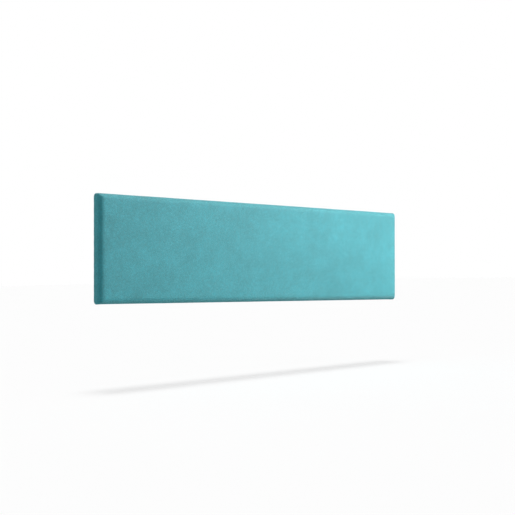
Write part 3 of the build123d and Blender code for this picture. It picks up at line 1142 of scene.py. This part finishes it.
@dataclass
class BackCloth:
    """Thin black cloth stapled over the back, and the blank label on it."""

    thickness: float = 0.4 * MM
    step_inset: float = 24 * MM
    step_width: float = 4.5 * MM
    corner_radius: float = 5 * MM
    staple_pitch: float = 60 * MM
    edge_lift: float = 0.7 * MM
    edge_width: float = 9 * MM
    pull_lift: float = 0.25 * MM
    wave: float = 0.55 * MM
    ragged: float = 0.35 * MM
    ragged_width: float = 4 * MM
    pitch: float = 8 * MM
    border: tuple[float, ...] = (1.2, 2.6, 4, 6, 9, 13, 18, 22, 24, 25.2, 26.4, 27.6, 28.8, 31)
    screw_hole: float = 5 * MM
    label_thickness: float = 0.3 * MM
    label_curl: float = 2.2 * MM
    label_ripple: float = 0.12 * MM
    label_held: float = 10 * MM

    def __post_init__(self) -> None:
        """Reads the cloth's place and what stands on it."""
        self.low, self.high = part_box("dust_cover")
        names = ("panel_rail", "wall_bumper_left", "wall_bumper_right", "care_label")
        self.stands = [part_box(name) for name in names]
        self.middle = (self.low + self.high) / 2
        self.board_y = self.stands[0][0].y
        screw_low, screw_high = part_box("panel_rail_screws")
        screw_z = (screw_low.z + screw_high.z) / 2
        outer = screw_high.x - (screw_high.z - screw_low.z) / 2
        self.screws = [(side * share * outer, screw_z) for side in (-1, 1) for share in (1 / 3, 1)]
        for low, high in self.stands[1:3]:
            self.screws.append(((low.x + high.x) / 2, (low.z + high.z) / 2))

    def build(self) -> None:
        """Makes and dresses the cloth and the label."""
        self.cloth()
        self.label()

    def cloth(self) -> None:
        """The nonwoven sheet, on the return at its margin and on the board inside."""
        border = [place * MM for place in self.border]
        across = stations(self.low.x, self.high.x, border, self.pitch)
        up = stations(self.low.z, self.high.z, border, self.pitch)
        bm = self.grid(across, up)
        for vert in bm.verts:
            vert.co = self.shaped(vert.co)
        gaps = [face for face in bm.faces if self.over_screw(face.calc_center_median())]
        bmesh.ops.delete(bm, geom=gaps, context="FACES")
        piece = new_piece("nonwoven_back", bm)
        give_thickness(piece, self.thickness)
        hand_over(piece, NONWOVEN, "dust_cover")

    def grid(self, across: Sequence[float], up: Sequence[float]) -> bmesh.types.BMesh:
        """A grid that faces the wall.

        Args:
            across: places of its rows along X.
            up: places of its rows along Z.

        Returns:
            The grid, at y = 0.
        """
        bm = bmesh.new()
        bmesh.ops.create_grid(bm, x_segments=len(across) - 1, y_segments=len(up) - 1, size=0.5)
        turn = Matrix.Rotation(-math.pi / 2, 3, "X")
        bmesh.ops.rotate(bm, cent=(0.0, 0.0, 0.0), matrix=turn, verts=bm.verts[:])
        respace(bm, 0, across)
        respace(bm, 2, up)
        return bm

    def over_screw(self, point: Vector) -> bool:
        """True near the axis of a screw that goes through the cloth."""
        return any(math.hypot(point.x - x, point.z - z) < self.screw_hole for x, z in self.screws)

    def shaped(self, point: Vector) -> Vector:
        """Lays one point of the flat cloth on the panel's back.

        Args:
            point: on the flat grid.

        Returns:
            Where it lies.
        """
        radius = self.corner_radius
        core_x, core_z = held_back(point, self.low, self.high, radius)
        out = Vector((point.x - core_x, point.z - core_z))
        ring = max(abs(out.x), abs(out.y))
        if ring > 0.0:
            out *= ring / out.length
        inset_x, inset_z = insets(point, self.low, self.high)
        inset = min(inset_x, inset_z)
        sunk = smooth_step(inset, self.step_inset, self.step_inset + self.step_width)
        y = self.high.y + (self.board_y - self.high.y) * sunk
        run = point.z - self.middle.z - self.staple_pitch / 2 if inset_x < inset_z else point.x
        between = between_staples(run, self.staple_pitch)
        uneven = self.ragged * noise.noise(Vector((point.x * 90.0, 4.0, point.z * 90.0)))
        cut_back = (uneven + 0.5 * MM * between) * (1.0 - smooth_step(inset, 0.0, self.ragged_width))
        if inset_x < inset_z:
            core_x -= math.copysign(cut_back, point.x)
        else:
            core_z -= math.copysign(cut_back, point.z - self.middle.z)
        lift = self.lift(point, inset, between) * self.clear_of_parts(point)
        return Vector((core_x + out.x, y + lift, core_z + out.y))

    def lift(self, point: Vector, inset: float, between: float) -> float:
        """How far the cloth stands off what it lies on.

        Args:
            point: on the flat grid.
            inset: how far in from the cloth's edge it is.
            between: 0 beside a staple and 1 midway between two.

        Returns:
            The distance, from the loose edge, the pull of the staples and slack waves.
        """
        rim = 1.0 - smooth_step(inset, 0.0, self.edge_width)
        pulled = 1.0 - smooth_step(inset, 10 * MM, 55 * MM)
        wide = noise.noise(Vector((point.x * 7.0, 2.0, point.z * 13.0)))
        narrow = noise.noise(Vector((point.x * 22.0, 9.0, point.z * 31.0)))
        slack = max(0.0, 0.55 + wide + 0.35 * narrow) * smooth_step(inset, 6 * MM, 40 * MM)
        return self.edge_lift * rim * between + self.pull_lift * pulled * between + self.wave * slack

    def clear_of_parts(self, point: Vector) -> float:
        """0 under a part that stands on the cloth, rising to 1 a little way off.

        Args:
            point: on the flat grid.

        Returns:
            A share from 0 to 1 of the cloth's full lift.
        """
        away = min(
            math.hypot(
                max(low.x - point.x, 0.0, point.x - high.x), max(low.z - point.z, 0.0, point.z - high.z)
            )
            for low, high in self.stands
        )
        return smooth_step(away, 1 * MM, 16 * MM)

    def label(self) -> None:
        """The blank ribbon label, held at its top by two staples and curling a little below."""
        low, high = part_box("care_label")
        across = stations(low.x, high.x, [1.5 * MM, 4 * MM], 3 * MM)
        up = stations(low.z, high.z, [1 * MM, 3 * MM], 2 * MM)
        bm = self.grid(across, up)
        centre = (low + high) / 2
        for vert in bm.verts:
            down = smooth_step(high.z - self.label_held - vert.co.z, 0.0, high.z - low.z - self.label_held)
            side = abs(vert.co.x - centre.x) / (high.x - centre.x)
            curl = self.label_curl * down**2 * (0.45 + 0.55 * side**3)
            ripple = self.label_ripple * math.sin(vert.co.x * 260.0) * down
            vert.co.y = high.y + curl + ripple
            vert.co.z += 0.5 * curl
        piece = new_piece("blank_label", bm)
        give_thickness(piece, self.label_thickness)
        hand_over(piece, RIBBON, "care_label")


# ---- Hard parts ----


@dataclass
class HardParts:
    """Board, rails, staples, screws and bumpers, which keep their CAD shapes."""

    finishes: dict[str, Finish] = field(
        default_factory=lambda: {
            "backboard": PLYWOOD,
            "wall_rail": RAIL,
            "panel_rail": RAIL,
            "panel_rail_washers": ZINC,
            "panel_rail_screws": ZINC,
            "tee_nuts": ZINC,
            "cover_staples": STAPLE_WIRE,
            "dust_cover_staples": STAPLE_WIRE,
            "label_staples": STAPLE_WIRE,
            "wall_bumper_left": RUBBER,
            "wall_bumper_right": RUBBER,
            "bumper_washers": ZINC,
            "bumper_screws": ZINC,
        }
    )

    def build(self) -> None:
        """Dresses each part."""
        for name, finish in self.finishes.items():
            finish.dress(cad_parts[name])
            LOG.info("%s: finish %s", name, finish.slot)


# ---- Studio ----


@dataclass(frozen=True)
class Lamp:
    """A wide sun or a soft disc, aimed at the panel."""

    name: str
    kind: str
    place: Triple
    strength: float
    width: float  # degrees for a sun, metres for a disc
    floor: str = "EXCLUDE"  # or INCLUDE, for a lamp that lights the floor alone
    tint: Colour = (1.0, 1.0, 1.0)

    def light(self, middle: Vector, floor: bpy.types.Object) -> None:
        """Adds the lamp.

        Args:
            middle: the panel's middle.
            floor: the floor that it lights alone, or leaves alone.
        """
        data = bpy.data.lights.new(self.name, self.kind)
        data.energy, data.color = self.strength, self.tint
        if self.kind == "SUN":
            data.angle = math.radians(self.width)
        else:
            data.shape, data.size = "DISK", self.width
        made = bpy.data.objects.new(self.name, data)
        made.location = middle + Vector(self.place)
        made.rotation_euler = (middle - made.location).to_track_quat("-Z", "Y").to_euler()
        bpy.context.scene.collection.objects.link(made)
        chosen = bpy.data.collections.new(self.name + "_on")
        chosen.objects.link(floor)
        made.light_linking.receiver_collection = chosen
        chosen.collection_objects[0].light_linking.link_state = self.floor


LAMPS = (
    Lamp("floor_light", "SUN", (0.0, 0.0, 3.0), 2.9, 20.0, floor="INCLUDE"),
    Lamp("top_light", "SUN", (0.0, 0.0, 3.0), 1.2, 60.0),
    Lamp("key_light", "AREA", (1.3, -1.5, 1.05), 64.0, 0.9, tint=(1.18, 0.98, 0.96)),
    Lamp("fill_light", "AREA", (-2.4, 0.35, 0.3), 5.0, 1.2),
    Lamp("back_light", "AREA", (0.5, 2.2, 1.1), 26.0, 1.6, tint=(1.15, 1.0, 0.96)),
)


@dataclass
class Studio:
    """Camera, sky and floor round the panel."""

    camera_back: Triple = (-1.4109, -2.2656, 0.0601)
    camera_turn: float = 40.97
    lens: float = 68.93
    sensor: float = 36.0
    shift: float = 0.0477
    floor_below: float = 0.2272
    floor_fall: float = 0.0204
    floor_size: float = 40.0
    floor_paint: Colour = (0.38, 0.38, 0.38)
    floor_glow: float = 0.585
    sky_strength: float = 0.12
    bounce: Colour = (0.3, 0.42, 0.43)

    def __post_init__(self) -> None:
        """Reads where the panel hangs."""
        self.low, self.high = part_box("velour_cover")

    def camera(self) -> None:
        """The camera at the panel's left front, level."""
        data = bpy.data.cameras.new("camera")
        data.lens, data.sensor_width, data.shift_y = self.lens, self.sensor, self.shift
        made = bpy.data.objects.new("camera", data)
        made.location = self.low + Vector(self.camera_back)
        made.rotation_euler = (math.pi / 2, 0.0, -math.radians(self.camera_turn))
        bpy.context.scene.collection.objects.link(made)
        bpy.context.scene.camera = made

    def surroundings(self) -> None:
        """Sky, floor and lamps."""
        bpy.context.scene.view_settings.view_transform = "Standard"
        self.sky()
        floor = self.floor()
        for lamp in LAMPS:
            lamp.light((self.low + self.high) / 2, floor)

    def sky(self) -> None:
        """White behind the panel, and a dimmer even light on it."""
        world = bpy.data.worlds.new("studio")
        wires = blank_wiring(world)
        seen = wires.node("ShaderNodeLightPath").outputs["Is Camera Ray"]
        level = wires.spread(seen, self.sky_strength, 1.0)
        light = wires.node("ShaderNodeBackground", {"Color": WHITE, "Strength": level})
        wires.feed(wires.node("ShaderNodeOutputWorld").inputs["Surface"], light.outputs[0])
        bpy.context.scene.world = world

    def floor(self) -> bpy.types.Object:
        """A plain pale floor, seen only from above.

        Returns:
            The floor.
        """
        bm = bmesh.new()
        bmesh.ops.create_grid(bm, x_segments=1, y_segments=1, size=self.floor_size / 2)
        for vert in bm.verts:
            vert.co.z = self.low.z - self.floor_below + self.floor_fall * vert.co.x
        floor = new_piece("studio_floor", bm)
        floor.data.materials.append(self.paint())
        return floor

    def paint(self) -> bpy.types.Material:
        """The floor's paint: pale to the camera, dimmer as a source of light and clear from below.

        Returns:
            The paint.
        """
        made = bpy.data.materials.new("floor_paint")
        wires = blank_wiring(made)
        grain = wires.effect(EFFECTS.clouds, wires.place(), Scale=3.0, Amount=0.004)
        seen = wires.shade(self.floor_paint, grain["Shade"])
        bright = wires.node("ShaderNodeBsdfDiffuse", {"Color": seen}).outputs[0]
        glow = wires.node("ShaderNodeEmission", {"Color": WHITE, "Strength": self.floor_glow}).outputs[0]
        both = wires.node("ShaderNodeAddShader", {0: bright, 1: glow}).outputs[0]
        dim = wires.node("ShaderNodeBsdfDiffuse", {"Color": (*self.bounce, 1.0)}).outputs[0]
        camera = wires.node("ShaderNodeLightPath").outputs["Is Camera Ray"]
        shown = wires.node("ShaderNodeMixShader", {0: camera, 1: dim, 2: both}).outputs[0]
        under = wires.node("ShaderNodeNewGeometry").outputs["Backfacing"]
        clear = wires.node("ShaderNodeBsdfTransparent").outputs[0]
        paint = wires.node("ShaderNodeMixShader", {0: under, 1: shown, 2: clear}).outputs[0]
        wires.feed(wires.node("ShaderNodeOutputMaterial").inputs["Surface"], paint)
        return made


def main() -> None:
    """Builds the scene, from the camera to the last screw."""
    logging.basicConfig(level=logging.INFO, format="%(name)s: %(message)s")
    studio = Studio()
    studio.camera()
    studio.surroundings()
    cover = VelourCover(PaddedForm(*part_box("velour_cover")))
    cover.build()
    Padding(cover.padding_surface).build()
    BackCloth().build()
    HardParts().build()


if __name__ == "__main__":
    main()
